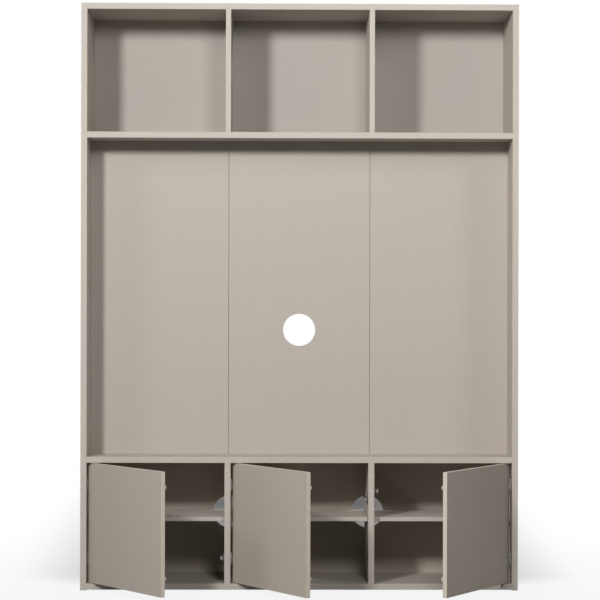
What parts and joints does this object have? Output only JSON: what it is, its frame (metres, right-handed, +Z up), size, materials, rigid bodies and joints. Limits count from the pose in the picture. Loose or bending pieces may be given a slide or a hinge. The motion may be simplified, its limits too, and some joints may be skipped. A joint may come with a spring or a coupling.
{
  "type": "tv cabinet",
  "caption": "Tall open media cabinet with a wide television bay, open compartments above and push-to-open doors below.",
  "frame": {"origin": "on the floor, in the middle of the width, midway between the tips of the open doors and the back", "axes": "+X to the right seen from the front, +Y towards the wall, +Z up"},
  "size_m": [1.6, 0.7471, 2.145],
  "materials": {
    "carcass_board": "matte greige lacquer over straight grain",
    "panel_board": "matte greige lacquer over straight grain",
    "back_board": "matte greige lacquer",
    "door_board": "matte greige lacquer over straight grain",
    "plated_steel": "nickel plated",
    "screw_steel": "zinc plated",
    "cam_zinc": "die-cast zinc",
    "dowel_wood": "raw beech",
    "glide_plastic": "black plastic",
    "latch_plastic": "dark grey plastic",
    "plunger_plastic": "pale plastic",
    "bumper_rubber": "translucent soft rubber"
  },
  "bodies": {
    "cabinet": {"side_left": "carcass_board", "side_right": "carcass_board", "bottom_panel": "carcass_board", "tv_deck": "carcass_board", "upper_shelf": "carcass_board", "top_panel": "carcass_board", "upper_divider_left": "carcass_board", "upper_divider_right": "carcass_board", "lower_divider_left": "carcass_board", "lower_divider_right": "carcass_board", "tv_post_left": "carcass_board", "tv_post_right": "carcass_board", "tv_batten_left": "carcass_board", "tv_batten_right": "carcass_board", "inner_shelf_left": "carcass_board", "inner_shelf_centre": "carcass_board", "inner_shelf_right": "carcass_board", "tv_panel_left": "panel_board", "tv_panel_centre": "panel_board", "tv_panel_right": "panel_board", "upper_back_panel": "back_board", "lower_back_panel": "back_board", "hinge_arms_left": "plated_steel", "hinge_plates_left": "plated_steel", "latch_housing_left": "latch_plastic", "hinge_arms_centre": "plated_steel", "hinge_plates_centre": "plated_steel", "latch_housing_centre": "latch_plastic", "hinge_arms_right": "plated_steel", "hinge_plates_right": "plated_steel", "latch_housing_right": "latch_plastic", "shelf_pins": "plated_steel", "wood_dowels": "dowel_wood", "cam_bolts": "screw_steel", "cam_locks": "cam_zinc", "floor_glides": "glide_plastic", "wall_bracket_left": "plated_steel", "wall_bracket_right": "plated_steel", "bracket_screws": "screw_steel", "hinge_screws": "screw_steel", "latch_screws": "screw_steel"},
    "door_left": {"door_left": "door_board", "hinge_cups_left": "plated_steel", "hinge_pins_left": "plated_steel", "cup_screws_left": "screw_steel", "bumpers_left": "bumper_rubber"},
    "latch_plunger_left": {"latch_plunger_left": "plunger_plastic"},
    "door_centre": {"door_centre": "door_board", "hinge_cups_centre": "plated_steel", "hinge_pins_centre": "plated_steel", "cup_screws_centre": "screw_steel", "bumpers_centre": "bumper_rubber"},
    "latch_plunger_centre": {"latch_plunger_centre": "plunger_plastic"},
    "door_right": {"door_right": "door_board", "hinge_cups_right": "plated_steel", "hinge_pins_right": "plated_steel", "cup_screws_right": "screw_steel", "bumpers_right": "bumper_rubber"},
    "latch_plunger_right": {"latch_plunger_right": "plunger_plastic"}
  },
  "joints": [
    {"name": "door_left_hinge", "type": "hinge", "parent": "cabinet", "child": "door_left", "pos_m": [-0.75, 0.03266, 0.245], "axis": [0, 0, -1], "range_deg": [-55, 40]},
    {"name": "door_centre_hinge", "type": "hinge", "parent": "cabinet", "child": "door_centre", "pos_m": [-0.224, 0.03266, 0.245], "axis": [0, 0, -1], "range_deg": [-58, 37]},
    {"name": "door_right_hinge", "type": "hinge", "parent": "cabinet", "child": "door_right", "pos_m": [0.75, 0.03266, 0.245], "axis": [0, 0, 1], "range_deg": [-58, 37]},
    {"name": "latch_left_plunger", "type": "slide", "parent": "cabinet", "child": "latch_plunger_left", "axis": [0, -1, 0], "range_m": [-0.003, 0.01], "stiffness_N_per_m": 400},
    {"name": "latch_centre_plunger", "type": "slide", "parent": "cabinet", "child": "latch_plunger_centre", "axis": [0, -1, 0], "range_m": [-0.003, 0.01], "stiffness_N_per_m": 400},
    {"name": "latch_right_plunger", "type": "slide", "parent": "cabinet", "child": "latch_plunger_right", "axis": [0, -1, 0], "range_m": [-0.003, 0.01], "stiffness_N_per_m": 400}
  ]
}
